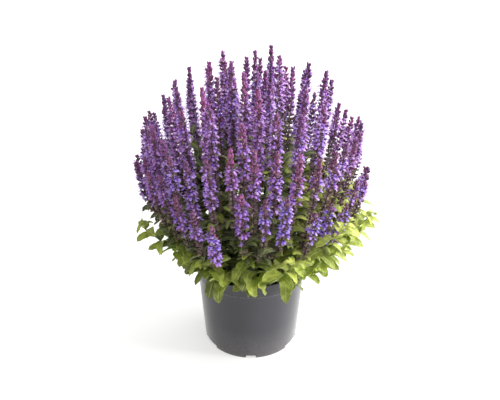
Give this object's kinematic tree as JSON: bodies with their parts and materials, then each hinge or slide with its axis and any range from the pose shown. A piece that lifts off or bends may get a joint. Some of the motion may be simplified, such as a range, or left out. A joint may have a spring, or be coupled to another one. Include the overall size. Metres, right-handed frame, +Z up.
{
  "type": "potted perennial salvia",
  "caption": "Bushy flowering salvia in a tapered nursery pot: a dome of upright violet flower spikes over yellow-green leafy stems.",
  "frame": {"origin": "on the ground under the middle of the pot", "axes": "+Z up along the pot's axis; -Y is the side seen from the front"},
  "size_m": [0.4457, 0.446, 0.6046],
  "materials": {
    "pot": "satin",
    "soil": "matte",
    "leafy": "satin",
    "flowers": "matte"
  },
  "bodies": {
    "root": {"pot": "pot", "soil": "soil", "stem_01_leafy": "leafy", "stem_01_flowers": "flowers", "stem_02_leafy": "leafy", "stem_02_flowers": "flowers", "stem_03_leafy": "leafy", "stem_03_flowers": "flowers", "stem_04_leafy": "leafy", "stem_04_flowers": "flowers", "stem_05_leafy": "leafy", "stem_05_flowers": "flowers", "stem_06_leafy": "leafy", "stem_06_flowers": "flowers", "stem_07_leafy": "leafy", "stem_07_flowers": "flowers", "stem_08_leafy": "leafy", "stem_08_flowers": "flowers", "stem_09_leafy": "leafy", "stem_09_flowers": "flowers", "stem_10_leafy": "leafy", "stem_10_flowers": "flowers", "stem_11_leafy": "leafy", "stem_11_flowers": "flowers", "stem_12_leafy": "leafy", "stem_12_flowers": "flowers", "stem_13_leafy": "leafy", "stem_13_flowers": "flowers", "stem_14_leafy": "leafy", "stem_14_flowers": "flowers", "stem_15_leafy": "leafy", "stem_15_flowers": "flowers", "stem_16_leafy": "leafy", "stem_16_flowers": "flowers", "stem_17_leafy": "leafy", "stem_17_flowers": "flowers", "stem_18_leafy": "leafy", "stem_18_flowers": "flowers", "stem_19_leafy": "leafy", "stem_19_flowers": "flowers", "stem_20_leafy": "leafy", "stem_20_flowers": "flowers", "stem_21_leafy": "leafy", "stem_21_flowers": "flowers", "stem_22_leafy": "leafy", "stem_22_flowers": "flowers", "stem_23_leafy": "leafy", "stem_23_flowers": "flowers", "stem_24_leafy": "leafy", "stem_24_flowers": "flowers", "stem_25_leafy": "leafy", "stem_25_flowers": "flowers", "stem_26_leafy": "leafy", "stem_26_flowers": "flowers"}
  },
  "joints": []
}
